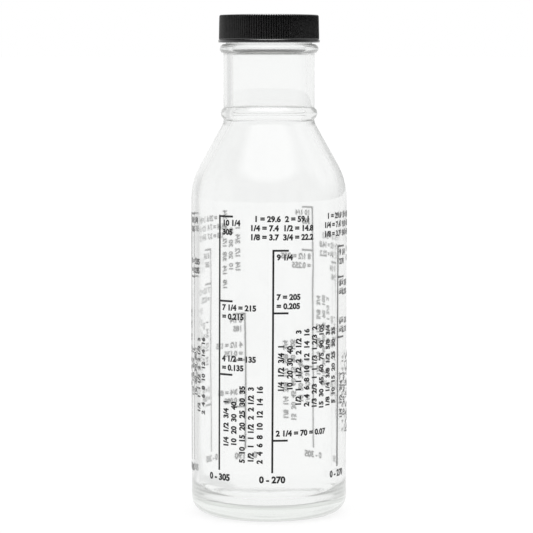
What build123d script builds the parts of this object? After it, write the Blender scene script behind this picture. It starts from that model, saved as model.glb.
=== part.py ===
from build123d import *
import os
from math import atan2, cos, pi, radians, sin, sqrt, tan

# Shaker bottle for salad dressing: a clear glass bottle with measuring scales printed round its
# body, and a black ribbed screw cap that seals on a soft liner.
# Millimetres, +Z up. The origin is the centre of the base, and -Y is the front.

# Glass bottle, from the base up
body_radius = 31.75
body_wall = 2.8
body_height = 136.1
heel_radius = 7.0
bearing_width = 1.2
push_up_height = 3.2
floor_thickness = 4.5
floor_crown = 2.0
floor_corner_radius = 8.0
cone_height = 23.6
shoulder_curve_radius = 28.0
neck_curve_radius = 5.0

# Neck and its two moulded rings
bore_radius = 15.4
neck_wall = 3.15
neck_length = 29.9
low_ring_rise = 3.8
low_ring_reach = 1.15
low_ring_half_height = 2.25
transfer_ring_reach = 1.55
transfer_ring_half_height = 1.9
ring_root_radius = 0.5

# Threaded finish above the transfer ring: a 38 mm continuous thread, 6 to the inch
finish_wall = 2.0
finish_height = 11.3
rim_outer_radius = 0.6
rim_inner_radius = 0.8
thread_pitch = 25.4 / 6
glass_thread_reach = 1.2
glass_thread_half_width = 1.25
glass_thread_drop = 2.3
glass_thread_turns = 1.2

# Screw cap
cap_side_clearance = 0.35
cap_ring_gap = 0.7
cap_wall = 0.85
cap_top_thickness = 1.4
cap_crown = 0.35
cap_corner_radius = 0.7
cap_draft = 0.2
cap_lead_in = 0.4
rib_count = 126
rib_reach = 0.38
cap_bead_height = 1.2
cap_bead_reach = 0.25
cap_bead_round = 0.35
cap_thread_reach = 1.2
cap_thread_crest_half_width = 0.3
cap_thread_root_half_width = 0.8
cap_thread_inset = 1.4
cap_thread_turns = 1.25
thread_gap = 0.15

# How a thread ridge grows out of its wall at each end
ridge_run_out_angle = 45
ridge_step_angle = 15
ridge_root_depth = 0.6
ridge_end_depth = 0.3

# Liner
liner_thickness = 1.0
liner_side_clearance = 0.25

# Printed measuring scales: each is an upright line with ticks to its right. Angles run round the
# body from the front, towards +X. Heights are shares of the body's straight side.
print_thickness = 0.1
print_line_width = 0.8
tick_length = 6.2
print_lean = 0.3
scale_azimuths = (-38.5, 2.7, 60.4, 103, 141, 199.5, 237, 278)
scale_span_shares = (
    (0.115, 0.957), (0.113, 0.847), (0.116, 0.852), (0.135, 0.78),
    (0.135, 0.959), (0.125, 0.591), (0.13, 0.82), (0.125, 0.957),
)
scale_tick_shares = (
    (0.957, 0.676, 0.434), (0.847, 0.639, 0.22), (0.852, 0.746, 0.546), (0.78, 0.52, 0.31),
    (0.959, 0.807, 0.41), (0.591, 0.43, 0.27), (0.82, 0.7, 0.29), (0.957, 0.744, 0.5),
)

# Places that follow from the sizes above
neck_radius = bore_radius + neck_wall
finish_radius = bore_radius + finish_wall
glass_crest_radius = finish_radius + glass_thread_reach
inner_radius = body_radius - body_wall
cone_top_height = body_height + cone_height
low_ring_height = cone_top_height + low_ring_rise
transfer_ring_height = cone_top_height + neck_length
rim_height = transfer_ring_height + finish_height
cone_angle = atan2(body_radius - neck_radius, cone_height)
side_top_height = body_height - shoulder_curve_radius * tan(cone_angle / 2)
inner_body_height = body_height - body_wall * tan(cone_angle / 2)
inner_cone_top_height = inner_body_height + (inner_radius - bore_radius) / tan(cone_angle)
floor_height = push_up_height + floor_thickness


def ring_radius(reach, half_height):
    """Radius of the round edge of a ring that stands proud of the neck by reach."""
    return (half_height ** 2 + reach ** 2) / (2 * reach)


low_ring_radius = ring_radius(low_ring_reach, low_ring_half_height)
transfer_ring_radius = ring_radius(transfer_ring_reach, transfer_ring_half_height)
low_ring_centre = neck_radius + low_ring_reach - low_ring_radius
transfer_ring_centre = neck_radius + transfer_ring_reach - transfer_ring_radius
finish_foot_height = transfer_ring_height + sqrt(
    transfer_ring_radius ** 2 - (transfer_ring_centre - finish_radius) ** 2
)

cap_bore_radius = glass_crest_radius + cap_side_clearance
cap_foot_height = finish_foot_height + cap_ring_gap
cap_seat_height = rim_height + liner_thickness
cap_top_height = cap_seat_height + cap_top_thickness + cap_crown
cap_core_top_radius = cap_bore_radius + cap_wall
cap_core_foot_radius = cap_core_top_radius + cap_draft
cap_bead_radius = cap_core_foot_radius + rib_reach + cap_bead_reach
cap_rib_foot_height = cap_foot_height + cap_bead_height

glass_thread_top_height = rim_height - glass_thread_drop
glass_thread_low_height = glass_thread_top_height - thread_pitch * glass_thread_turns
cap_thread_drop = glass_thread_half_width + cap_thread_crest_half_width + thread_gap
cap_thread_low_height = cap_foot_height + cap_thread_inset
# The cap's ridge lies under the glass one, so its angle follows from its height on the same helix
cap_thread_low_angle = 360 * (
    cap_thread_low_height + cap_thread_drop - glass_thread_low_height
) / thread_pitch


def axial_plane(angle, height):
    """Plane through the bottle's axis: its X points outwards at the angle, its Y points up."""
    outward = (cos(radians(angle)), sin(radians(angle)), 0)
    return Plane(origin=(0, 0, height), x_dir=outward, z_dir=(outward[1], -outward[0], 0))


def ridge_places(low_angle, low_height, turns):
    """Angle, height and growth (0 at the ends, 1 along the middle) of each section of a ridge."""
    steps = round(360 * turns / ridge_step_angle)
    for step in range(steps + 1):
        turned = 360 * turns * step / steps
        from_end = min(turned, 360 * turns - turned, ridge_run_out_angle)
        growth = sin(pi / 2 * from_end / ridge_run_out_angle) ** 2
        yield low_angle + turned, low_height + thread_pitch * turned / 360, growth


# Rounded thread ridge of the glass finish
glass_sections = []
for angle, height, growth in ridge_places(0, glass_thread_low_height, glass_thread_turns):
    root = finish_radius - ridge_root_depth
    crest = finish_radius - ridge_end_depth + (glass_thread_reach + ridge_end_depth) * growth
    with BuildSketch(axial_plane(angle, height)) as section:
        with BuildLine():
            ThreePointArc((root, -glass_thread_half_width), (crest, 0), (root, glass_thread_half_width))
            Line((root, glass_thread_half_width), (root, -glass_thread_half_width))
        make_face()
    glass_sections.append(section.sketch)

with BuildPart() as bottle:
    with BuildSketch(Plane.XZ) as outline:
        with BuildLine():
            bearing_inner_radius = body_radius - heel_radius - bearing_width
            TangentArc((0, push_up_height), (bearing_inner_radius, 0), tangent=(1, 0))
            FilletPolyline(
                (bearing_inner_radius, 0),
                (body_radius, 0),
                (body_radius, body_height),
                (neck_radius, cone_top_height),
                (neck_radius, transfer_ring_height),
                radius=[heel_radius, shoulder_curve_radius, neck_curve_radius],
            )
            Polyline(
                (neck_radius, transfer_ring_height),
                (finish_radius, transfer_ring_height),
                (finish_radius, rim_height),
                (0, rim_height),
                (0, push_up_height),
            )
        make_face()
        with Locations((low_ring_centre, low_ring_height)):
            Circle(low_ring_radius)
        with Locations((transfer_ring_centre, transfer_ring_height)):
            Circle(transfer_ring_radius)
        ring_roots = (
            (neck_radius, low_ring_height - low_ring_half_height),
            (neck_radius, low_ring_height + low_ring_half_height),
            (neck_radius, transfer_ring_height - transfer_ring_half_height),
            (finish_radius, finish_foot_height),
        )
        for place in ring_roots:
            fillet(outline.vertices().sort_by_distance(place)[0], ring_root_radius)
        with BuildSketch(Plane.XY) as hollow:
            with BuildLine():
                floor_edge_height = floor_height - floor_crown
                TangentArc((0, floor_height), (inner_radius, floor_edge_height), tangent=(1, 0))
                FilletPolyline(
                    (inner_radius, floor_edge_height),
                    (inner_radius, inner_body_height),
                    (bore_radius, inner_cone_top_height),
                    (bore_radius, rim_height),
                    radius=[shoulder_curve_radius - body_wall, neck_curve_radius + neck_wall],
                )
                Polyline((bore_radius, rim_height), (0, rim_height), (0, floor_height))
            make_face()
            floor_corner = hollow.vertices().sort_by_distance((inner_radius, floor_edge_height))[0]
            fillet(floor_corner, floor_corner_radius)
        add(hollow.sketch, mode=Mode.SUBTRACT)
        fillet(outline.vertices().sort_by_distance((finish_radius, rim_height))[0], rim_outer_radius)
        fillet(outline.vertices().sort_by_distance((bore_radius, rim_height))[0], rim_inner_radius)
    revolve(axis=Axis.Z)
    loft(sections=glass_sections)
bottle.part.label = "bottle"

# Thread ridge inside the cap
cap_sections = []
for angle, height, growth in ridge_places(cap_thread_low_angle, cap_thread_low_height, cap_thread_turns):
    root = cap_bore_radius + ridge_root_depth
    crest = cap_bore_radius + ridge_end_depth - (cap_thread_reach + ridge_end_depth) * growth
    with BuildSketch(axial_plane(angle, height)) as section:
        with BuildLine():
            Polyline(
                (root, -cap_thread_root_half_width),
                (root, cap_thread_root_half_width),
                (crest, cap_thread_crest_half_width),
                (crest, -cap_thread_crest_half_width),
                close=True,
            )
        make_face()
    cap_sections.append(section.sketch)


def ribbed_ring(core_radius):
    """Corners of the ribbed outline: each rib's tip, then the root beside it."""
    for rib in range(rib_count):
        for radius, share in ((core_radius + rib_reach, 0), (core_radius, 0.5)):
            angle = 2 * pi * (rib + share) / rib_count
            yield radius * cos(angle), radius * sin(angle)


# Ribbed sleeve of the cap, with its crowned top
with BuildPart() as ribbed_sleeve:
    with BuildSketch(Plane.XY.offset(cap_rib_foot_height)):
        with BuildLine():
            Polyline(*ribbed_ring(cap_core_foot_radius), close=True)
        make_face()
    with BuildSketch(Plane.XY.offset(cap_top_height)):
        with BuildLine():
            Polyline(*ribbed_ring(cap_core_top_radius), close=True)
        make_face()
    loft(ruled=True)
    with BuildSketch(Plane.XZ):
        with BuildLine():
            rib_edge_radius = cap_core_top_radius + rib_reach
            corner_height = cap_top_height - cap_crown
            Polyline(
                (0, cap_top_height),
                (0, cap_rib_foot_height),
                (cap_bead_radius, cap_rib_foot_height),
                (rib_edge_radius, corner_height - cap_corner_radius),
            )
            TangentArc(
                (0, cap_top_height), (rib_edge_radius - cap_corner_radius, corner_height), tangent=(1, 0)
            )
            RadiusArc(
                (rib_edge_radius - cap_corner_radius, corner_height),
                (rib_edge_radius, corner_height - cap_corner_radius),
                cap_corner_radius,
            )
        make_face()
    revolve(axis=Axis.Z, mode=Mode.INTERSECT)
    with BuildSketch(Plane.XY.offset(cap_rib_foot_height)):
        Circle(cap_bore_radius + cap_wall / 3)
    extrude(amount=cap_seat_height - cap_rib_foot_height, mode=Mode.SUBTRACT)

# The whole cap: threaded inner wall and plain bead, joined to the sleeve within the wall
with BuildPart() as screw_cap:
    with BuildSketch(Plane.XZ) as inner_wall:
        with BuildLine():
            Polyline(
                (cap_bore_radius, cap_seat_height),
                (cap_bore_radius, cap_foot_height + cap_lead_in),
                (cap_bore_radius + cap_lead_in, cap_foot_height),
                (cap_bead_radius, cap_foot_height),
                (cap_bead_radius, cap_rib_foot_height),
                (cap_bore_radius + cap_wall * 2 / 3, cap_rib_foot_height),
                (cap_bore_radius + cap_wall * 2 / 3, cap_seat_height),
                close=True,
            )
        make_face()
        fillet(inner_wall.vertices().group_by(Axis.X)[-1], cap_bead_round)
    revolve(axis=Axis.Z)
    loft(sections=cap_sections)
    add(ribbed_sleeve.part)
screw_cap.part.label = "screw_cap"

with BuildPart() as cap_liner:
    with BuildSketch(Plane.XY.offset(rim_height)):
        Circle(cap_bore_radius - liner_side_clearance)
    extrude(amount=liner_thickness)
cap_liner.part.label = "cap_liner"

side_foot_height = heel_radius
side_height = side_top_height - side_foot_height
measuring_scales = []
for azimuth, spans, ticks in zip(scale_azimuths, scale_span_shares, scale_tick_shares):
    outward = (sin(radians(azimuth)), -cos(radians(azimuth)), 0)
    along = (-outward[1], outward[0], -tan(radians(print_lean)))
    low, high = [side_foot_height + side_height * share for share in spans]
    face = Plane(origin=(0, 0, (low + high) / 2), x_dir=along, z_dir=outward).offset(body_radius)
    with BuildPart() as scale_print:
        with BuildSketch(face):
            Rectangle(print_line_width, high - low)
            for share in ticks:
                tick_height = side_foot_height + side_height * share - (low + high) / 2
                tick_height = min(tick_height, (high - low - print_line_width) / 2)
                with Locations((0, tick_height)):
                    Rectangle(tick_length, print_line_width, align=(Align.MIN, Align.CENTER))
        extrude(amount=body_wall, both=True)
        with BuildSketch(Plane.XZ):
            with Locations((body_radius, 0)):
                Rectangle(print_thickness, body_height, align=(Align.MIN, Align.MIN))
        revolve(axis=Axis.Z, mode=Mode.INTERSECT)
    scale_print.part.label = "measuring_scale_" + str(len(measuring_scales) + 1)
    measuring_scales.append(scale_print.part)

os.makedirs("parts", exist_ok=True)
for piece in [bottle.part, screw_cap.part, cap_liner.part, *measuring_scales]:
    export_step(piece, "parts/" + piece.label + ".step")
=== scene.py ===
from math import acos, atan2, ceil, cos, pi, radians, sin, sqrt, tan

import bpy
import bmesh
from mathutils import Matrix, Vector


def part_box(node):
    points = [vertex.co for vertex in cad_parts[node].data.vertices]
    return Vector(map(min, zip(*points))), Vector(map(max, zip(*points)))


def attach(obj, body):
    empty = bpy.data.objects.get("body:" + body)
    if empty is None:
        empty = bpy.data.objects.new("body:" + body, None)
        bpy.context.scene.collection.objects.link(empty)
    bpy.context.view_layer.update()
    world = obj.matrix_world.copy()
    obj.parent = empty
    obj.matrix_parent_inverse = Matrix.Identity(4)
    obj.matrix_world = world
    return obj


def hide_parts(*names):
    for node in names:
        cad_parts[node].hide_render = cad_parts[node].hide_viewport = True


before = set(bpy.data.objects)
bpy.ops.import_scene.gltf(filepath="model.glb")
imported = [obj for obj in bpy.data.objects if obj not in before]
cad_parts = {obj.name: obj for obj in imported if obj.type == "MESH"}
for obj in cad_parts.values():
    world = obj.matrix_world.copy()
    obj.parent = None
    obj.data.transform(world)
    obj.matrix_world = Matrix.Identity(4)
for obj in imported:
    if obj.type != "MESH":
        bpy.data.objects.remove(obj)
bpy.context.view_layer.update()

# Glass bottle
# One piece of clear soda-lime glass, blown in a two-part mould: a round body that stands on a narrow
# knurled ring, a cone shoulder, and a long neck with two moulded rings and a thread for the cap.
mm = 0.001
bottle_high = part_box("bottle")[1]
body_radius = bottle_high.x
rim_height = bottle_high.z
body_height = 136.1 * mm
inner_radius = body_radius - 2.8 * mm
heel_radius = 7.0 * mm
bearing_width = 1.2 * mm
bearing_round = 0.8 * mm
push_up_height = 3.2 * mm
floor_height = 7.7 * mm
floor_edge_height = 5.7 * mm
floor_corner_radius = 8.0 * mm
cone_top_height = 159.7 * mm
shoulder_curve_radius = 28.0 * mm
inner_shoulder_radius = 25.2 * mm
neck_curve_radius = 5.0 * mm
inner_neck_curve_radius = 8.15 * mm
neck_radius = 18.55 * mm
bore_radius = 15.4 * mm
finish_radius = 17.4 * mm
cone_angle = atan2(body_radius - neck_radius, cone_top_height - body_height)
inner_body_height = body_height - (body_radius - inner_radius) * tan(cone_angle / 2)
inner_cone_top_height = inner_body_height + (inner_radius - bore_radius) / tan(cone_angle)
low_ring_height = 163.5 * mm
low_ring_reach = 1.15 * mm
low_ring_half_height = 2.25 * mm
transfer_ring_height = 189.6 * mm
transfer_ring_reach = 1.55 * mm
transfer_ring_half_height = 1.9 * mm
ring_root_radius = 0.5 * mm
rim_outer_radius = 0.6 * mm
rim_inner_radius = 0.8 * mm
rim_foot_height = rim_height - rim_inner_radius * 2
bottle_columns = 256
arc_step = radians(7)
wall_step = 4.5 * mm
weld_distance = mm / 500
glass_smooth_angle = 50


def arc(centre, radius, start, end):
    """Points of a round stretch of an outline, from one angle to another."""
    steps = max(2, ceil(abs(end - start) / arc_step))
    for step in range(steps + 1):
        angle = start + (end - start) * step / steps
        yield centre + radius * Vector((cos(angle), sin(angle)))


def rounded(*corners):
    """Outline through corners of (radius, height, rounding), with an arc at each rounded one."""
    for index, (radius, height, rounding) in enumerate(corners):
        here = Vector((radius, height))
        if not rounding:
            yield here
            continue
        back = (Vector(corners[index - 1][:2]) - here).normalized()
        onward = (Vector(corners[index + 1][:2]) - here).normalized()
        half = back.angle(onward) / 2
        centre = here + (back + onward).normalized() * rounding / sin(half)
        arm = here + back * rounding / tan(half) - centre
        start = atan2(arm.y, arm.x)
        turn = (pi - 2 * half) * (1 if back.x * onward.y < back.y * onward.x else -1)
        yield from arc(centre, rounding, start, start + turn)


def crown(centre_height, edge_radius, edge_height):
    """Shallow dome from the axis out to its edge, level at the axis."""
    rise = centre_height - edge_height
    dome_radius = (edge_radius ** 2 + rise ** 2) / (2 * rise)
    steps = ceil(edge_radius / wall_step * 2)
    for step in range(steps + 1):
        radius = edge_radius * step / steps
        yield Vector((radius, centre_height - dome_radius + sqrt(dome_radius ** 2 - radius ** 2)))


def moulded_ring(height, reach, half_height, wall_above):
    """A ring's round edge, from below it to above it, with a small hollow where it meets the wall."""
    edge_radius = (half_height ** 2 + reach ** 2) / (2 * reach)
    centre = Vector((neck_radius + reach - edge_radius, height))
    apart = edge_radius + ring_root_radius
    below = acos((neck_radius + ring_root_radius - centre.x) / apart)
    above = acos((wall_above + ring_root_radius - centre.x) / apart)
    low_root = centre + apart * Vector((cos(below), -sin(below)))
    high_root = centre + apart * Vector((cos(above), sin(above)))
    yield from arc(low_root, ring_root_radius, pi, pi - below)
    yield from arc(centre, edge_radius, -below, above)
    yield from arc(high_root, ring_root_radius, pi + above, pi)


def with_steps(outline, longest):
    """The outline with its long straight stretches divided."""
    outline = list(outline)
    yield outline[0]
    for last, here in zip(outline, outline[1:]):
        parts = ceil((here - last).length / longest)
        for part in range(parts):
            yield last + (here - last) * (part + 1) / parts


def turned(name, outline, columns, sweep=2 * pi):
    """Draws an outline as a chain of points beside the axis and spins it into a piece."""
    bpy.ops.object.select_all(action="DESELECT")
    bpy.ops.mesh.primitive_plane_add(size=mm)
    piece = bpy.context.object
    piece.name = piece.data.name = name
    bpy.ops.object.mode_set(mode="EDIT")
    bpy.ops.mesh.merge(type="CENTER")
    here = Vector((0, 0))
    for index, point in enumerate(outline):
        move = {"value": (point.x - here.x, 0, point.y - here.y)}
        if index:
            bpy.ops.mesh.extrude_region_move(TRANSFORM_OT_translate=move)
        else:
            bpy.ops.transform.translate(**move)
        here = point
    bpy.ops.mesh.select_all(action="SELECT")
    bpy.ops.mesh.spin(steps=columns, angle=sweep, center=(0, 0, 0), axis=(0, 0, 1))
    bpy.ops.mesh.select_all(action="SELECT")
    bpy.ops.mesh.remove_doubles(threshold=weld_distance)
    bpy.ops.object.mode_set(mode="OBJECT")
    return piece


def select_points(piece, wanted):
    """Leaves the piece in edit mode with the points selected that the test wants."""
    bpy.ops.object.select_all(action="DESELECT")
    bpy.context.view_layer.objects.active = piece
    piece.select_set(True)
    bpy.ops.object.mode_set(mode="EDIT")
    bpy.ops.mesh.select_mode(type="VERT")
    mesh = bmesh.from_edit_mesh(piece.data)
    for point in mesh.verts:
        point.select = wanted(point.co)
    mesh.select_flush(True)
    bmesh.update_edit_mesh(piece.data)


def close_up(piece, smooth_angle):
    """Turns all faces outwards and smooths those that meet at less than the angle."""
    select_points(piece, lambda place: True)
    bpy.ops.mesh.normals_make_consistent(inside=False)
    bpy.ops.object.mode_set(mode="OBJECT")
    bpy.ops.object.shade_smooth_by_angle(angle=radians(smooth_angle))


def apply_modifier(piece, kind, **settings):
    """Adds a modifier with its settings and applies it."""
    bpy.ops.object.select_all(action="DESELECT")
    bpy.context.view_layer.objects.active = piece
    piece.select_set(True)
    modifier = piece.modifiers.new(kind.lower(), kind)
    for setting, value in settings.items():
        setattr(modifier, setting, value)
    bpy.ops.object.modifier_apply(modifier=modifier.name)


bearing_radius = body_radius - heel_radius
outer_wall = [
    *crown(push_up_height, bearing_radius - bearing_width, 0),
    *list(rounded(
        (bearing_radius - bearing_width, 0, 0),
        (body_radius, 0, heel_radius),
        (body_radius, body_height, shoulder_curve_radius),
        (neck_radius, cone_top_height, neck_curve_radius),
        (neck_radius, low_ring_height, 0),
    ))[:-1],
    *moulded_ring(low_ring_height, low_ring_reach, low_ring_half_height, neck_radius),
    *moulded_ring(transfer_ring_height, transfer_ring_reach, transfer_ring_half_height, finish_radius),
]
rim = rounded(
    (finish_radius, rim_foot_height, 0),
    (finish_radius, rim_height, rim_outer_radius),
    (bore_radius, rim_height, rim_inner_radius),
    (bore_radius, rim_foot_height, 0),
)
inner_wall = rounded(
    (bore_radius, rim_foot_height, 0),
    (bore_radius, inner_cone_top_height, inner_neck_curve_radius),
    (inner_radius, inner_body_height, inner_shoulder_radius),
    (inner_radius, floor_edge_height, floor_corner_radius),
    (0, floor_height, 0),
)
bottle_outline = [*outer_wall, *rim, *with_steps(inner_wall, wall_step)]
glass_bottle = turned("glass_bottle", bottle_outline, bottle_columns)


def is_inner(place):
    """Whether a point lies on the bottle's inside."""
    radius = Vector(place[:2]).length
    middle = (body_radius + inner_radius) / 2 - max(0, place.z - body_height) * tan(cone_angle)
    return radius < max(middle, (neck_radius + bore_radius) / 2) and place.z > push_up_height + mm


# Knurling on the ring that the bottle stands on: every other pair of columns is let up a little
knurl_height = 0.22 * mm
knurl_columns = 4
knurl_half_width = bearing_width * 1.3


def in_knurl_groove(place):
    """Whether a point lies in a hollow of the knurling."""
    column = round(atan2(place.y, place.x) / (2 * pi) * bottle_columns) % knurl_columns
    on_ring = abs(Vector(place[:2]).length - bearing_radius) < knurl_half_width
    return column < knurl_columns / 2 and on_ring and place.z < bearing_round


select_points(glass_bottle, in_knurl_groove)
bpy.ops.transform.translate(value=(0, 0, knurl_height))
bpy.ops.object.mode_set(mode="OBJECT")

# The inside was shaped by air alone, so it waves slightly
wave_depth = 0.16 * mm
wave_size = 16 * mm
inside = glass_bottle.vertex_groups.new(name="inside")
inside.add([point.index for point in glass_bottle.data.vertices if is_inner(point.co)], 1, "REPLACE")
waves = bpy.data.textures.new("blown_glass_waves", "CLOUDS")
waves.noise_scale = wave_size
waves.noise_depth = 1
apply_modifier(glass_bottle, "DISPLACE", texture=waves, texture_coords="LOCAL", strength=wave_depth,
               vertex_group="inside")

# Thread ridge of the finish
thread_pitch = 25.4 / 6 * mm
thread_steps_per_turn = 72
glass_thread_reach = 1.2 * mm
glass_thread_half_width = 1.25 * mm
glass_thread_turns = 1.2
glass_thread_top_gap = 2.3 * mm
glass_thread_low_height = rim_height - glass_thread_top_gap - glass_thread_turns * thread_pitch
ridge_root_depth = 0.6 * mm
ridge_end_depth = 0.3 * mm
ridge_run_out = radians(45)
ridge_smooth_angle = 40


def thread_ridge(name, section, wall, low_angle, low_height, turns):
    """Winds a closed section up the axis, and sinks both ends of the ridge into its wall."""
    bpy.ops.object.select_all(action="DESELECT")
    bpy.ops.mesh.primitive_circle_add(vertices=len(section), radius=mm)
    ridge = bpy.context.object
    ridge.name = ridge.data.name = name
    for point, (radius, height) in zip(ridge.data.vertices, section):
        point.co = (radius * cos(low_angle), radius * sin(low_angle), low_height + height)
    steps = round(turns * thread_steps_per_turn)
    apply_modifier(ridge, "SCREW", axis="Z", angle=2 * pi * turns, screw_offset=thread_pitch * turns,
                   iterations=1, steps=steps, render_steps=steps, use_normal_calculate=False)
    middle_height = sum(height for radius, height in section) / len(section)
    sunk = (ridge_root_depth - ridge_end_depth) / (ridge_root_depth + glass_thread_reach)
    middle_radius = sum(radius for radius, height in section) / len(section)
    root = wall - ridge_root_depth if middle_radius > wall else wall + ridge_root_depth
    for point in ridge.data.vertices:
        angle = atan2(point.co.y, point.co.x) - low_angle
        for_turns = (point.co.z - low_height - middle_height) / thread_pitch
        turned_angle = angle + 2 * pi * round(for_turns - angle / (2 * pi))
        from_end = min(turned_angle, 2 * pi * turns - turned_angle, ridge_run_out)
        growth = sunk + (1 - sunk) * sin(pi / 2 * max(0, from_end) / ridge_run_out) ** 2
        radius = Vector(point.co[:2]).length
        share = (root + (radius - root) * growth) / radius
        point.co.x *= share
        point.co.y *= share
    select_points(ridge, lambda place: True)
    bpy.ops.mesh.fill_holes(sides=0)
    bpy.ops.object.mode_set(mode="OBJECT")
    close_up(ridge, ridge_smooth_angle)
    return ridge


ridge_depth = glass_thread_reach + ridge_root_depth
ridge_radius = (glass_thread_half_width ** 2 + ridge_depth ** 2) / (2 * ridge_depth)
ridge_centre = Vector((finish_radius + glass_thread_reach - ridge_radius, 0))
ridge_half_angle = acos((finish_radius - ridge_root_depth - ridge_centre.x) / ridge_radius)
glass_section = [tuple(p) for p in arc(ridge_centre, ridge_radius, -ridge_half_angle, ridge_half_angle)]
glass_thread = thread_ridge(
    "glass_thread", glass_section, finish_radius, 0, glass_thread_low_height, glass_thread_turns
)


def join_solid(piece, added):
    """Makes the added solid one with the piece."""
    apply_modifier(piece, "BOOLEAN", operation="UNION", solver="EXACT", object=added)
    bpy.data.objects.remove(added)


join_solid(glass_bottle, glass_thread)
close_up(glass_bottle, glass_smooth_angle)
inner_side = glass_bottle.data.attributes.new("inner_side", "FLOAT", "POINT")
for point, share in zip(glass_bottle.data.vertices, inner_side.data):
    share.value = is_inner(point.co)


def new_material(name):
    """A material with its node tree, its nodes by kind and its main shader."""
    material = bpy.data.materials.new(name)
    material.use_nodes = True
    nodes = material.node_tree.nodes
    return material, nodes, material.node_tree.links, nodes["Principled BSDF"]


def add_noise(nodes, links, scale, detail, stretch=(1, 1, 1)):
    """Noise in the piece's own place, drawn out by the stretch."""
    place = nodes.new("ShaderNodeTexCoord")
    mapping = nodes.new("ShaderNodeMapping")
    mapping.inputs["Scale"].default_value = stretch
    noise = nodes.new("ShaderNodeTexNoise")
    noise.inputs["Scale"].default_value = scale
    noise.inputs["Detail"].default_value = detail
    links.new(place.outputs["Object"], mapping.inputs["Vector"])
    links.new(mapping.outputs["Vector"], noise.inputs["Vector"])
    return noise


def spread(nodes, links, source, low, high, from_low=0, from_high=1):
    """Maps a value on to a range."""
    ranged = nodes.new("ShaderNodeMapRange")
    ranged.inputs["From Min"].default_value = from_low
    ranged.inputs["From Max"].default_value = from_high
    ranged.inputs["To Min"].default_value = low
    ranged.inputs["To Max"].default_value = high
    links.new(source, ranged.inputs["Value"])
    return ranged.outputs["Result"]


def arithmetic(nodes, links, operation, first, second):
    """One step of a sum of node outputs and plain values."""
    step = nodes.new("ShaderNodeMath")
    step.operation = operation
    for socket, value in zip(step.inputs, (first, second)):
        if isinstance(value, (int, float)):
            socket.default_value = value
        else:
            links.new(value, socket)
    return step.outputs["Value"]


def add_bump(nodes, links, height, strength, distance, shader):
    """Bump on the shader from a height."""
    bump = nodes.new("ShaderNodeBump")
    bump.inputs["Strength"].default_value = strength
    bump.inputs["Distance"].default_value = distance
    links.new(height, bump.inputs["Height"])
    links.new(bump.outputs["Normal"], shader.inputs["Normal"])


# Clear glass: fire-polished outside, a little duller inside, faintly green where it is thick. The
# mould's two halves leave a thin line up the front and the back. Light that runs about inside the
# glass fills its thick parts, which the volume's own faint light stands for.
seam_angle = radians(-87.19)
seam_half_width = 0.28 * mm
glass_index = 1.52
outside_roughness = 0.015
inside_roughness = 0.07
draw_mark_scale = 60
draw_mark_detail = 2
draw_mark_stretch = (1, 1, 0.25)
relief_strength = 0.3
relief_depth = 0.12 * mm
absorption_density = 20
inner_light_strength = 13.3
clear_glass, nodes, links, shader = new_material("clear_glass")
shader.inputs["Base Color"].default_value = (0.988, 0.991, 0.989, 1)
shader.inputs["Transmission Weight"].default_value = 1
shader.inputs["IOR"].default_value = glass_index
inner_share = nodes.new("ShaderNodeAttribute")
inner_share.attribute_name = "inner_side"
glass_roughness = spread(nodes, links, inner_share.outputs["Fac"], outside_roughness, inside_roughness)
links.new(glass_roughness, shader.inputs["Roughness"])
place = nodes.new("ShaderNodeTexCoord")
from_seam = nodes.new("ShaderNodeVectorMath")
from_seam.operation = "DOT_PRODUCT"
links.new(place.outputs["Object"], from_seam.inputs[0])
from_seam.inputs[1].default_value = (sin(seam_angle), -cos(seam_angle), 0)
aside = arithmetic(nodes, links, "ABSOLUTE", from_seam.outputs["Value"], 0)
seam_line = spread(nodes, links, aside, 1, 0, 0, seam_half_width)
outside_seam = arithmetic(nodes, links, "SUBTRACT", seam_line, inner_share.outputs["Fac"])
seam_height = arithmetic(nodes, links, "MAXIMUM", outside_seam, 0)
draw_marks = add_noise(nodes, links, draw_mark_scale, draw_mark_detail, draw_mark_stretch)
relief = arithmetic(nodes, links, "ADD", draw_marks.outputs["Fac"], seam_height)
add_bump(nodes, links, relief, relief_strength, relief_depth, shader)
absorption = nodes.new("ShaderNodeVolumeAbsorption")
absorption.inputs["Color"].default_value = (0.16, 0.19, 0.17, 1)
absorption.inputs["Density"].default_value = absorption_density
inner_light = nodes.new("ShaderNodeEmission")
inner_light.inputs["Color"].default_value = (1, 1, 0.985, 1)
inner_light.inputs["Strength"].default_value = inner_light_strength
glass_volume = nodes.new("ShaderNodeAddShader")
links.new(absorption.outputs["Volume"], glass_volume.inputs[0])
links.new(inner_light.outputs["Emission"], glass_volume.inputs[1])
links.new(glass_volume.outputs["Shader"], nodes["Material Output"].inputs["Volume"])
glass_bottle.data.materials.append(clear_glass)
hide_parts("bottle")
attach(glass_bottle, "bottle")

# Measuring scales
# Black enamel, screen-printed round the body and fired on: upright lines with ticks across, and
# plain numbers beside them. The back of the enamel, seen through the glass, is painted pale grey: a
# painted reflection that stands for the glare and blur that pale the print behind the glass.
print_gap = 0.01 * mm
print_depth = 0.06 * mm
back_tolerance = print_depth / 10
line_width = 0.8 * mm
tick_length = 6.2 * mm
bar_cuts = 7
print_smooth_angle = 40
print_lean = radians(0.3)
side_foot_height = heel_radius
side_height = body_height - shoulder_curve_radius * tan(cone_angle / 2) - side_foot_height
digit_height = 2.3 * mm
digit_share = 0.73
line_spacing = 1.15
letter_fattening = 0.05
letter_curve_steps = 3
label_indent = line_width * 1.7
one_line_gap = digit_height * 1.2
two_line_gap = digit_height * 1.95
total_gap = digit_height * 1.25
total_digit_height = digit_height * 1.15
column_indent = line_width * 2
column_pitch = digit_height / digit_share * line_spacing
block_indent = tick_length * 0.6
fluid_ounce = 29.57
millilitres_per_cubic_metre = 1e6
volume_step = 5
scale_azimuths = (-38.5, 2.7, 60.4, 103, 141, 199.5, 237, 278)
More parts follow.
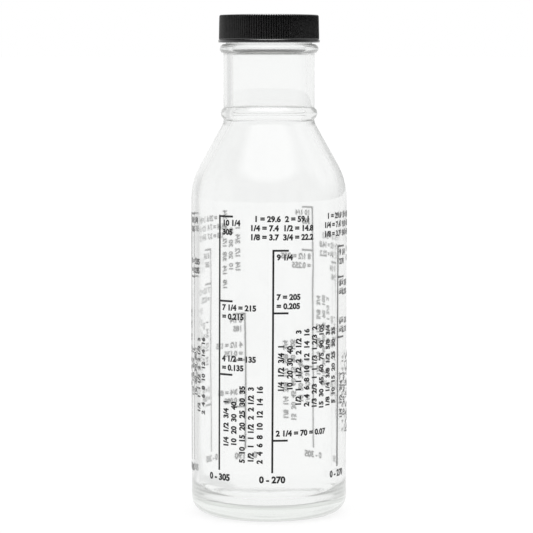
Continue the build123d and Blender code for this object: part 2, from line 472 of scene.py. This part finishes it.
scale_span_shares = (
    (0.115, 0.957), (0.113, 0.847), (0.116, 0.852), (0.135, 0.78),
    (0.135, 0.959), (0.125, 0.591), (0.13, 0.82), (0.125, 0.957),
)
scale_tick_shares = (
    (0.957, 0.676, 0.434), (0.847, 0.639, 0.22), (0.852, 0.746, 0.546), (0.78, 0.52, 0.31),
    (0.959, 0.807, 0.41), (0.591, 0.43, 0.27), (0.82, 0.7, 0.29), (0.957, 0.744, 0.5),
)
short_rows = ("1/4  1/2  3/4  1", "10  20  30  40")
long_rows = (
    "1/8  1/4  3/8  1/2  5/8  3/4",
    "5  10  15  20  25  30  35",
    "1/2  1  1 1/2  2  2 1/2  3",
    "2  4  6  8  10  12  14  16",
    "1/3  2/3  1  1 1/3  1 2/3  2",
    "15  30  45  60  75  90  105",
)
block_rows = ("1 = 29.6  2 = 59.1", "1/4 = 7.4  1/2 = 14.8", "1/8 = 3.7  3/4 = 22.2")
block_rises = {2: 3.65, 3: 3.65, 4: 2.7, 7: 3.65}
front_scale = 2
column_counts = (5, 8, 5, 5, 4, 3, 5, 4)
column_height_shares = (0.272, 0.458, 0.35, 0.52, 0.36, 0.81, 0.5, 0.42)
unlabelled_ticks = {4: 1, 5: 2, 8: 2}


def flat_bar(left, low, width, height):
    """A bar of the flat artwork, from its lower left corner."""
    bpy.ops.object.select_all(action="DESELECT")
    bpy.ops.mesh.primitive_plane_add(size=1)
    bar = bpy.context.object
    bpy.ops.object.mode_set(mode="EDIT")
    bpy.ops.transform.resize(value=(width, height, 1))
    bpy.ops.transform.translate(value=(left + width / 2, low + height / 2, 0))
    bpy.ops.mesh.subdivide(number_cuts=bar_cuts)
    bpy.ops.object.mode_set(mode="OBJECT")
    return bar


def flat_numbers(lines, place, height=digit_height, align="LEFT", upright=True):
    """Lines of numbers of the flat artwork; their place is the middle of the block's edge."""
    bpy.ops.object.select_all(action="DESELECT")
    bpy.ops.object.text_add()
    block = bpy.context.object
    block.data.body = "\n".join(lines)
    block.data.size = height / digit_share
    block.data.space_line = line_spacing
    block.data.offset = letter_fattening * height / digit_share
    block.data.resolution_u = letter_curve_steps
    block.data.align_x = align
    block.data.align_y = "CENTER"
    bpy.ops.object.convert(target="MESH")
    block = bpy.context.object
    block.rotation_euler.z = 0 if upright else pi / 2
    block.location = (place[0], place[1], 0)
    bpy.ops.object.transform_apply(location=True, rotation=True, scale=True)
    return block


def quarters(amount):
    """An amount in whole numbers and quarters."""
    whole, rest = divmod(round(amount * 4), 4)
    words = [str(whole)] if whole or not rest else []
    return " ".join(words + ["", "1/4", "1/2", "3/4"][rest:rest + 1]).strip()


def volume(height):
    """Millilitres that the bottle holds up to a height, to the nearest five."""
    filled = pi * inner_radius ** 2 * (height - floor_height) * millilitres_per_cubic_metre
    return round(filled / volume_step) * volume_step


def label_lines(number, tick_number, amount):
    """The numbers beside a tick: fluid ounces, millilitres and litres, on one line or two."""
    ounces = quarters(amount / fluid_ounce)
    lines = [ounces + " = " + str(amount), "= " + str(amount / 1000)]
    if tick_number == 0:
        lines = [ounces, str(amount)]
    if number != front_scale or tick_number == 1:
        return lines
    return lines[:1] if tick_number == 0 else [" ".join(lines)]


# Black enamel, finely grained and paler at a slant, with a back for the face that lies on the glass
# in painted pale grey, a painted reflection for the glare over the print behind the glass
enamel_grain_detail = 3
enamel_grain_scale = 900
enamel_low_roughness = 0.32
enamel_high_roughness = 0.5
enamel_sheen_roughness = 0.45
enamel_gloss = 0.25
enamel_grain_strength = 0.3
enamel_grain_depth = 0.01 * mm
back_grain_scale = 700
back_low_roughness = 0.5
back_high_roughness = 0.7
black_enamel, nodes, links, shader = new_material("black_enamel")
mottle = add_noise(nodes, links, enamel_grain_scale, enamel_grain_detail)
shader.inputs["Base Color"].default_value = (0.012, 0.012, 0.013, 1)
enamel_roughness = spread(
    nodes, links, mottle.outputs["Fac"], enamel_low_roughness, enamel_high_roughness
)
links.new(enamel_roughness, shader.inputs["Roughness"])
shader.inputs["Sheen Weight"].default_value = 1
shader.inputs["Sheen Roughness"].default_value = enamel_sheen_roughness
shader.inputs["Specular IOR Level"].default_value = enamel_gloss
add_bump(nodes, links, mottle.outputs["Fac"], enamel_grain_strength, enamel_grain_depth, shader)
enamel_back_painted_reflection, nodes, links, shader = new_material("enamel_back_painted_reflection")
mottle = add_noise(nodes, links, back_grain_scale, enamel_grain_detail)
# Painted reflection: this pale grey stands for glare on the glass over the print behind it
shader.inputs["Base Color"].default_value = (0.45, 0.45, 0.45, 1)
back_roughness = spread(nodes, links, mottle.outputs["Fac"], back_low_roughness, back_high_roughness)
links.new(back_roughness, shader.inputs["Roughness"])

for number, azimuth in enumerate(scale_azimuths, start=1):
    low, high = [side_foot_height + side_height * share for share in scale_span_shares[number - 1]]
    ticks = [side_foot_height + side_height * share for share in scale_tick_shares[number - 1]]
    middle = (low + high) / 2
    artwork = [flat_bar(-line_width / 2, low, line_width, high - low)]
    for tick_number, tick in enumerate(ticks):
        tick = min(tick, high - line_width / 2)
        artwork.append(flat_bar(0, tick - line_width / 2, tick_length, line_width))
        if unlabelled_ticks.get(number) == tick_number:
            continue
        lines = label_lines(number, tick_number, volume(tick))
        away = one_line_gap if len(lines) == 1 else two_line_gap
        hangs = tick_number == 0 or tick_number == number % 2
        label_place = (label_indent, tick - away if hangs else tick + away)
        artwork.append(flat_numbers(lines, label_place))
    total = ["0 - " + str(volume(high))]
    artwork.append(flat_numbers(total, (0, low - total_gap), total_digit_height, "CENTER"))
    count = column_counts[number - 1]
    longer = [long_rows[(number + row) % len(long_rows)] for row in range(count - len(short_rows))]
    columns_height = side_foot_height + side_height * column_height_shares[number - 1]
    columns_place = (column_indent + column_pitch * count / 2, columns_height)
    artwork.append(flat_numbers([*short_rows, *longer], columns_place, align="CENTER", upright=False))
    if number in block_rises:
        block_place = (block_indent, high + digit_height * block_rises[number])
        artwork.append(flat_numbers(block_rows, block_place, align="CENTER"))
    bpy.ops.object.select_all(action="DESELECT")
    for piece in artwork:
        piece.select_set(True)
    bpy.context.view_layer.objects.active = artwork[0]
    bpy.ops.object.join()
    scale_print = bpy.context.object
    scale_print.name = scale_print.data.name = "scale_print_" + str(number)
    apply_modifier(scale_print, "SOLIDIFY", thickness=print_depth, offset=1)
    scale_print.data.materials.append(black_enamel)
    scale_print.data.materials.append(enamel_back_painted_reflection)
    for face in scale_print.data.polygons:
        face.material_index = 1 if face.center.z < back_tolerance else 0
    for point in scale_print.data.vertices:
        across, up, depth = point.co
        angle = radians(azimuth - 90) + (across + (up - middle) * tan(print_lean)) / body_radius
        radius = body_radius + print_gap + depth
        point.co = (radius * cos(angle), radius * sin(angle), up - across * tan(print_lean))
    close_up(scale_print, print_smooth_angle)
    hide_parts("measuring_scale_" + str(number))
    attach(scale_print, "bottle")

# Cap liner
# A disc punched from a sheet of white foamed polyethylene and pressed into the cap's top, with the
# mark of the glass rim round its underside.
liner_low, liner_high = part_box("cap_liner")
liner_radius = liner_high.x
liner_round = 0.15 * mm
rim_mark_depth = 0.1 * mm
liner_columns = 128
liner_smooth_angle = 50
foam_cell_scale = 3200
foam_roughness = 0.6
foam_cell_strength = 0.4
foam_cell_depth = 0.05 * mm
liner_outline = rounded(
    (0, liner_high.z, 0),
    (liner_radius, liner_high.z, liner_round),
    (liner_radius, liner_low.z, liner_round),
    (finish_radius + rim_outer_radius, liner_low.z, 0),
    (finish_radius - rim_outer_radius, liner_low.z + rim_mark_depth, 0),
    (bore_radius + rim_inner_radius, liner_low.z + rim_mark_depth, 0),
    (bore_radius - rim_inner_radius, liner_low.z, 0),
    (0, liner_low.z, 0),
)
liner_disc = turned("liner_disc", with_steps(liner_outline, wall_step), liner_columns)
close_up(liner_disc, liner_smooth_angle)
liner_foam, nodes, links, shader = new_material("liner_foam")
cells = nodes.new("ShaderNodeTexVoronoi")
cells.inputs["Scale"].default_value = foam_cell_scale
place = nodes.new("ShaderNodeTexCoord")
links.new(place.outputs["Object"], cells.inputs["Vector"])
shader.inputs["Base Color"].default_value = (0.84, 0.84, 0.82, 1)
shader.inputs["Roughness"].default_value = foam_roughness
add_bump(nodes, links, cells.outputs["Distance"], foam_cell_strength, foam_cell_depth, shader)
liner_disc.data.materials.append(liner_foam)
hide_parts("cap_liner")
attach(liner_disc, "liner")

# Screw cap
# Black polypropylene, moulded in one piece: fine upright ribs round the skirt that run out into the
# rounded edge of a slightly crowned top, a plain bead round the foot, and the thread inside.
cap_low, cap_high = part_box("screw_cap")
cap_bead_radius = cap_high.x
cap_bead_height = 1.2 * mm
cap_bead_round = 0.35 * mm
cap_crown = 0.35 * mm
cap_corner_radius = 0.7 * mm
cap_core_top_radius = 19.8 * mm
cap_core_foot_radius = 20.0 * mm
cap_bore_radius = 18.95 * mm
cap_lead_in = 0.4 * mm
rib_count = 126
rib_reach = 0.38 * mm
rib_columns = 6
rib_shares = (1, 0.87, 0.4, 0)
rib_row_shares = (0.75, 0.5, 0.25, 0.06, 0.04)
rib_tolerance = mm / 100
rib_smooth_angle = 60
rib_foot_height = cap_low.z + cap_bead_height
corner_top_height = cap_high.z - cap_crown
side_top_height = corner_top_height - cap_corner_radius
flat_radius = cap_core_top_radius + rib_reach - cap_corner_radius


def cap_core_radius(height):
    """Radius of the skirt between its ribs, which narrows upwards by the mould's draft."""
    share = (height - rib_foot_height) / (cap_high.z - rib_foot_height)
    return cap_core_foot_radius + (cap_core_top_radius - cap_core_foot_radius) * share


ribbed_side = []
for tip in arc(Vector((flat_radius, side_top_height)), cap_corner_radius, pi / 2, 0):
    ribbed_side.append((tip.x, tip.y))
for share in rib_row_shares:
    height = rib_foot_height + (side_top_height - rib_foot_height) * share
    ribbed_side.append((cap_core_radius(height) + rib_reach, height))
ribbed_side.append((cap_core_foot_radius + rib_reach / 2, rib_foot_height))
rib_rows = [(min(cap_core_radius(height), radius), radius, height) for radius, height in ribbed_side]
cap_outline = [
    *list(crown(cap_high.z, flat_radius, corner_top_height))[:-1],
    *[Vector((core, height)) for core, tip, height in rib_rows],
    *rounded(
        (cap_core_foot_radius, rib_foot_height, 0),
        (cap_bead_radius, rib_foot_height, cap_bead_round),
        (cap_bead_radius, cap_low.z, cap_bead_round),
        (cap_bore_radius + cap_lead_in, cap_low.z, 0),
        (cap_bore_radius, cap_low.z + cap_lead_in, 0),
        (cap_bore_radius, liner_high.z, 0),
        (0, liner_high.z, 0),
    ),
]
rib_angle = 2 * pi / rib_count
black_cap = turned("black_cap", cap_outline, rib_columns, rib_angle)
for core, tip, height in rib_rows:
    for column, share in enumerate(rib_shares):
        if share == 0 or tip - core < rib_tolerance:
            continue

        def on_rib(place):
            """Whether a point is of this row and column of the rib."""
            nearest = round(abs(atan2(place.y, place.x)) / rib_angle * rib_columns)
            at_height = abs(place.z - height) < rib_tolerance
            on_core = abs(Vector(place[:2]).length - core) < rib_tolerance
            return at_height and on_core and nearest in (column, rib_columns - column)

        select_points(black_cap, on_rib)
        reach = 1 + (tip - core) * share / core
        bpy.ops.transform.resize(value=(reach, reach, 1), center_override=(0, 0, 0))
        bpy.ops.object.mode_set(mode="OBJECT")
select_points(black_cap, lambda place: True)
other_ribs_angle = 2 * pi - rib_angle
bpy.ops.mesh.spin(steps=rib_count - 1, angle=other_ribs_angle, dupli=True, center=(0, 0, 0), axis=(0, 0, 1))
bpy.ops.mesh.select_all(action="SELECT")
bpy.ops.mesh.remove_doubles(threshold=weld_distance)
bpy.ops.object.mode_set(mode="OBJECT")
close_up(black_cap, rib_smooth_angle)

cap_thread_start = 1.4 * mm
cap_thread_low_height = cap_low.z + cap_thread_start
cap_thread_drop = 1.7 * mm
cap_thread_turns = 1.25
cap_thread_root_half = 0.8 * mm
cap_thread_crest_half = 0.3 * mm
cap_thread_rise = cap_thread_low_height + cap_thread_drop - glass_thread_low_height
cap_thread_angle = 2 * pi * cap_thread_rise / thread_pitch
cap_section = [
    (cap_bore_radius + ridge_root_depth, -cap_thread_root_half),
    (cap_bore_radius + ridge_root_depth, cap_thread_root_half),
    (cap_bore_radius - glass_thread_reach, cap_thread_crest_half),
    (cap_bore_radius - glass_thread_reach, -cap_thread_crest_half),
]
cap_thread = thread_ridge(
    "cap_thread", cap_section, cap_bore_radius, cap_thread_angle, cap_thread_low_height, cap_thread_turns
)
join_solid(black_cap, cap_thread)
close_up(black_cap, rib_smooth_angle)
cap_gloss = 0.8
cap_grain_scale = 1500
cap_grain_detail = 4
cap_grain_range = (0.3, 0.7)
cap_low_roughness = 0.12
cap_high_roughness = 0.2
cap_grain_strength = 0.2
cap_grain_depth = 0.015 * mm
cap_plastic, nodes, links, shader = new_material("cap_plastic")
shader.inputs["Base Color"].default_value = (0.003, 0.003, 0.0032, 1)
shader.inputs["Specular IOR Level"].default_value = cap_gloss
grain = add_noise(nodes, links, cap_grain_scale, cap_grain_detail)
cap_roughness = spread(
    nodes, links, grain.outputs["Fac"], cap_low_roughness, cap_high_roughness, *cap_grain_range
)
links.new(cap_roughness, shader.inputs["Roughness"])
add_bump(nodes, links, grain.outputs["Fac"], cap_grain_strength, cap_grain_depth, shader)
black_cap.data.materials.append(cap_plastic)
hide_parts("screw_cap")
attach(black_cap, "cap")

# Floor
# A wide white sheet, seen from above only and lit from both sides, so that it meets the white
# behind it without an edge and the bottle's shadow on it is faint. A pale grey card behind the
# bottle, on its left, shows only through the glass and in the gloss.
floor_radius = 100
floor_corners = 64
floor_diffuse = 0.28
floor_roughness = 0.9
floor_own_light = 0.77
glass_tone = 0.98
inner_bounce_loss = 0.05
most_counted_bounces = 3
card_azimuth = -141
card_share = 0.78
card_outer_edge = 0.965
card_inner_edge = 0.993
bpy.ops.object.select_all(action="DESELECT")
bpy.ops.mesh.primitive_circle_add(vertices=floor_corners, radius=floor_radius, fill_type="NGON")
white_floor = bpy.context.object
white_floor.name = white_floor.data.name = "white_floor"


def tone_through_glass(nodes, links, path):
    """Brightness that light from the glass brings: less after each reflection inside it."""
    bounces = arithmetic(nodes, links, "MINIMUM", path.outputs["Glossy Depth"], most_counted_bounces)
    lost = arithmetic(nodes, links, "MULTIPLY", bounces, inner_bounce_loss)
    return arithmetic(nodes, links, "SUBTRACT", glass_tone, lost)


def towards(azimuth, elevation):
    """Unit vector at an angle from the front towards +X, and above the floor."""
    across = cos(radians(elevation))
    turn = radians(azimuth)
    return Vector((across * sin(turn), -across * cos(turn), sin(radians(elevation))))


def card_tone(nodes, links, away):
    """Share of the white that the grey card leaves."""
    level = nodes.new("ShaderNodeVectorMath")
    level.operation = "NORMALIZE"
    links.new(away, level.inputs[0])
    along = nodes.new("ShaderNodeVectorMath")
    along.operation = "DOT_PRODUCT"
    links.new(level.outputs["Vector"], along.inputs[0])
    along.inputs[1].default_value = towards(card_azimuth, 0)
    return spread(
        nodes, links, along.outputs["Value"], 1, card_share, card_outer_edge, card_inner_edge
    )


floor_white, nodes, links, shader = new_material("floor_white")
shader.inputs["Base Color"].default_value = (floor_diffuse, floor_diffuse, floor_diffuse, 1)
shader.inputs["Roughness"].default_value = floor_roughness
shader.inputs["Specular IOR Level"].default_value = 0
shader.inputs["Emission Color"].default_value = (1, 1, 1, 1)
path = nodes.new("ShaderNodeLightPath")
own_light = spread(nodes, links, path.outputs["Is Diffuse Ray"], floor_own_light, 0)
links.new(own_light, shader.inputs["Emission Strength"])
lit_sheet = nodes.new("ShaderNodeEmission")
place = nodes.new("ShaderNodeTexCoord")
card = card_tone(nodes, links, place.outputs["Object"])
sheet_tone = arithmetic(nodes, links, "MULTIPLY", tone_through_glass(nodes, links, path), card)
links.new(sheet_tone, lit_sheet.inputs["Strength"])
either = nodes.new("ShaderNodeMixShader")
links.new(path.outputs["Is Transmission Ray"], either.inputs["Fac"])
links.new(shader.outputs["BSDF"], either.inputs[1])
links.new(lit_sheet.outputs["Emission"], either.inputs[2])
below = nodes.new("ShaderNodeNewGeometry")
unseen = nodes.new("ShaderNodeBsdfTransparent")
one_sided = nodes.new("ShaderNodeMixShader")
links.new(below.outputs["Backfacing"], one_sided.inputs["Fac"])
links.new(either.outputs["Shader"], one_sided.inputs[1])
links.new(unseen.outputs["BSDF"], one_sided.inputs[2])
links.new(one_sided.outputs["Shader"], nodes["Material Output"].inputs["Surface"])
floor_white.cycles.emission_sampling = "NONE"
white_floor.data.materials.append(floor_white)

# Studio light
# White all round. What the gloss shows is darker: a dim room, white paper behind the bottle and to
# its left, two soft lights overhead, and one on each side.
room = bpy.data.worlds.new("studio")
bpy.context.scene.world = room
room.use_nodes = True
room.cycles.sampling_method = "NONE"
nodes, links = room.node_tree.nodes, room.node_tree.links
path = nodes.new("ShaderNodeLightPath")
direction = nodes.new("ShaderNodeTexCoord").outputs["Generated"]


def facing(azimuth, elevation):
    """How nearly a ray runs towards a direction, from -1 to 1."""
    along = nodes.new("ShaderNodeVectorMath")
    along.operation = "DOT_PRODUCT"
    links.new(direction, along.inputs[0])
    along.inputs[1].default_value = towards(azimuth, elevation)
    return along.outputs["Value"]


room_tone = 0.008
paper_azimuth = -155
paper_falloff = 2
paper_strength = 1.2
paper = spread(nodes, links, facing(paper_azimuth, 0), 0, 1)
paper_share = arithmetic(nodes, links, "POWER", paper, paper_falloff)
paper_tone = arithmetic(nodes, links, "MULTIPLY", paper_share, paper_strength)
card = card_tone(nodes, links, direction)
paper_tone = arithmetic(nodes, links, "MULTIPLY", paper_tone, card)
glossy_tone = arithmetic(nodes, links, "ADD", paper_tone, room_tone)

# Each light: its azimuth and elevation, the cosines to its outer and inner edge, and its strength
lights = (
    (0, 70, 0.72, 0.86, 1.8),
    (0, 86, 0.9, 0.98, 16),
    (-82, 8, 0.8, 0.97, 0.38),
    (112, 38, 0.79, 0.94, 1.1),
)
for azimuth, elevation, outer_edge, inner_edge, strength in lights:
    light = spread(nodes, links, facing(azimuth, elevation), 0, strength, outer_edge, inner_edge)
    glossy_tone = arithmetic(nodes, links, "ADD", glossy_tone, light)
plain_tone = nodes.new("ShaderNodeMix")
links.new(path.outputs["Is Transmission Ray"], plain_tone.inputs["Factor"])
plain_tone.inputs["A"].default_value = 1
seen_tone = arithmetic(nodes, links, "MULTIPLY", tone_through_glass(nodes, links, path), card)
links.new(seen_tone, plain_tone.inputs["B"])
tone = nodes.new("ShaderNodeMix")
glossy, through = path.outputs["Is Glossy Ray"], path.outputs["Is Transmission Ray"]
links.new(arithmetic(nodes, links, "SUBTRACT", glossy, through), tone.inputs["Factor"])
links.new(plain_tone.outputs["Result"], tone.inputs["A"])
links.new(glossy_tone, tone.inputs["B"])
links.new(tone.outputs["Result"], nodes["Background"].inputs["Strength"])
nodes["Background"].inputs["Color"].default_value = (1, 1, 1, 1)

# Camera
# A long lens in front of the bottle, level with its upper ring and looking slightly down.
photo_width = 533
focal_pixels = 2600
sensor_width = 36
camera_place = (-0.00102, -1.059, 0.1878)
camera_dip = 4.69
bpy.ops.object.camera_add(location=camera_place, rotation=(radians(90 - camera_dip), 0, 0))
camera = bpy.context.object
camera.data.sensor_width = sensor_width
camera.data.lens = sensor_width * focal_pixels / photo_width
bpy.context.scene.camera = camera
bpy.context.scene.view_settings.view_transform = "Standard"
